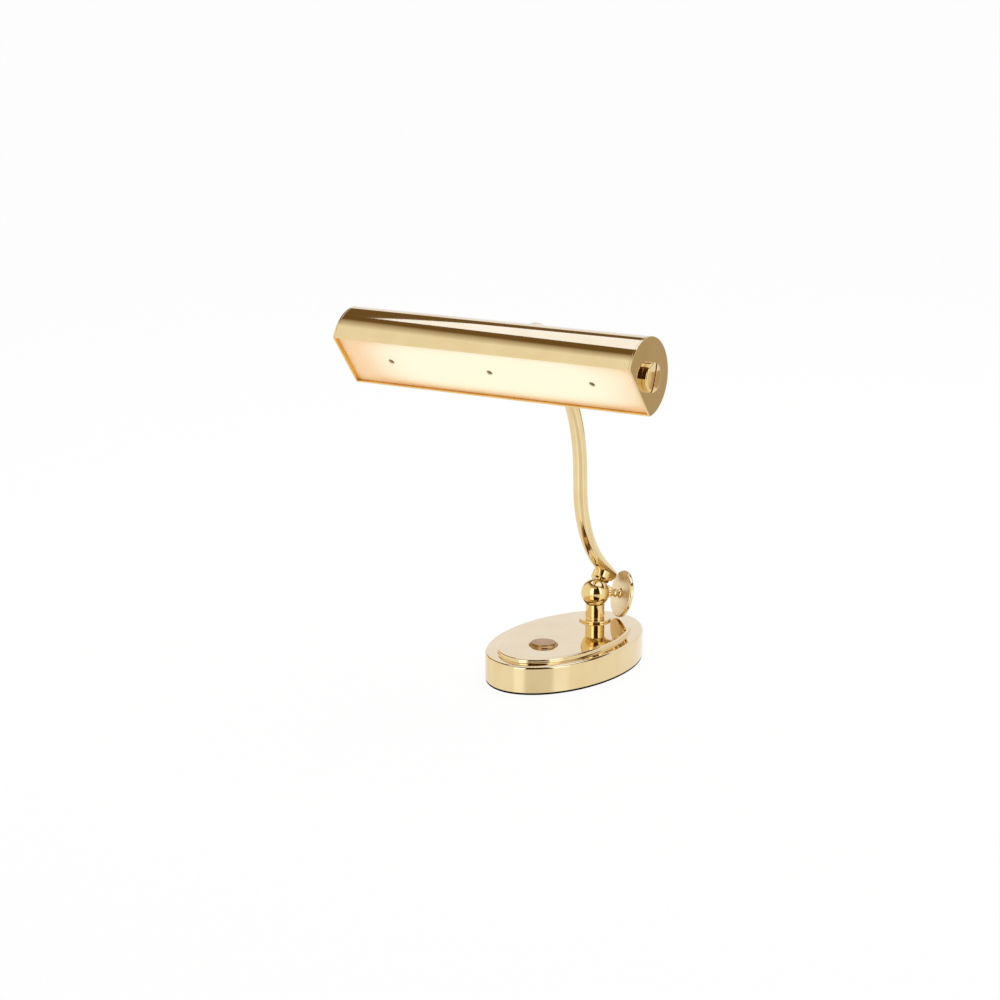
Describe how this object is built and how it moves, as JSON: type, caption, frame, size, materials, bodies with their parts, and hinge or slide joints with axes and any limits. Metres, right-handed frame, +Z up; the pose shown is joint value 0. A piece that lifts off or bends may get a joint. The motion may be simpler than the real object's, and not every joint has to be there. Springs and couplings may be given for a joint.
{
  "type": "piano lamp",
  "caption": "Low brass piano lamp: oval weighted base with push switch, curved arm on a clamped ball joint, and a half-round turning shade.",
  "frame": {"origin": "on the surface the lamp stands on, under the middle of the oval base", "axes": "+Z up, +X along the shade, -Y towards the player, where the shade reaches out; the ball joint stands at the +Y end of the base"},
  "size_m": [0.2596, 0.2151, 0.2858],
  "materials": {
    "polished_brass": "mirror-polished brass under clear lacquer",
    "satin_bronze": "satin brass, slightly brown",
    "turned_brass": "plain turned brass, unseen inside",
    "felt": "black wool felt",
    "zinc_steel": "zinc-plated steel",
    "spring_steel": "bright spring steel",
    "cast_iron": "as cast, painted grey",
    "black_plastic": "moulded black thermoplastic",
    "nylon": "natural nylon",
    "circuit_board": "glass-epoxy board with green mask",
    "aluminium": "plain sheet aluminium",
    "white_board": "aluminium board with white mask",
    "phosphor": "yellow phosphor under clear resin",
    "opal_plastic": "opal diffusing acrylic, warm white when lit",
    "cable_sheath": "soft plastic cable sheath",
    "fibre": "vulcanised fibre"
  },
  "bodies": {
    "base": {"felt_pad": "felt", "base_shell": "polished_brass", "base_plate": "zinc_steel", "base_plate_screws": "zinc_steel", "base_weight": "cast_iron", "switch_bezel": "polished_brass", "switch_nut": "turned_brass", "switch_body": "black_plastic", "button_spring": "spring_steel", "board_spacers": "nylon", "dimmer_board": "circuit_board", "dimmer_parts": "black_plastic", "dc_inlet": "black_plastic", "inlet_nut": "zinc_steel", "foot_flange": "polished_brass", "column": "polished_brass", "lock_washer": "spring_steel", "column_nut": "zinc_steel"},
    "button": {"switch_button": "satin_bronze"},
    "ball_joint": {"ball_housing": "polished_brass", "swivel_screw": "zinc_steel", "friction_seat": "nylon", "seat_spring": "spring_steel", "clamp_ring": "polished_brass"},
    "knob": {"clamp_spindle": "polished_brass", "clamp_disc": "polished_brass"},
    "arm": {"ball_stud": "turned_brass", "arm_collar": "polished_brass", "arm_tube": "polished_brass", "arm_tail_plug": "polished_brass", "arm_lead": "cable_sheath", "shade_hub": "turned_brass", "hub_screws": "zinc_steel", "shade_rod": "turned_brass", "friction_washer_left": "fibre", "friction_washer_right": "fibre", "end_screw_left": "polished_brass", "end_screw_right": "polished_brass"},
    "shade": {"shade_shell": "polished_brass", "end_cap_left": "polished_brass", "end_cap_right": "polished_brass", "light_tray": "aluminium", "light_strip": "white_board", "light_chips": "phosphor", "diffuser_panel": "opal_plastic", "panel_screws": "polished_brass"}
  },
  "joints": [
    {"name": "arm_swivel", "type": "hinge", "parent": "base", "child": "ball_joint", "pos_m": [0, 0.0472, 0.0473], "axis": [0, 0, 1], "range_deg": [-165, 165]},
    {"name": "arm_tilt", "type": "hinge", "parent": "ball_joint", "child": "arm", "pos_m": [0, 0.0472, 0.0473], "axis": [1, 0, 0], "range_deg": [-2, 30]},
    {"name": "knob_turn", "type": "hinge", "parent": "ball_joint", "child": "knob", "pos_m": [0.00027, 0.04754, 0.04925], "axis": [0.6144, 0.7587, -0.2164], "range_deg": [0, 360]},
    {"name": "shade_turn", "type": "hinge", "parent": "arm", "child": "shade", "pos_m": [0, -0.10195, 0.25699], "axis": [1, 0, 0], "range_deg": [-25, 40]},
    {"name": "switch_press", "type": "slide", "parent": "base", "child": "button", "axis": [0, 0, -1], "range_m": [0, 0.002], "stiffness_N_per_m": 400, "springref_m": -0.002, "deforming": ["button_spring"]}
  ]
}
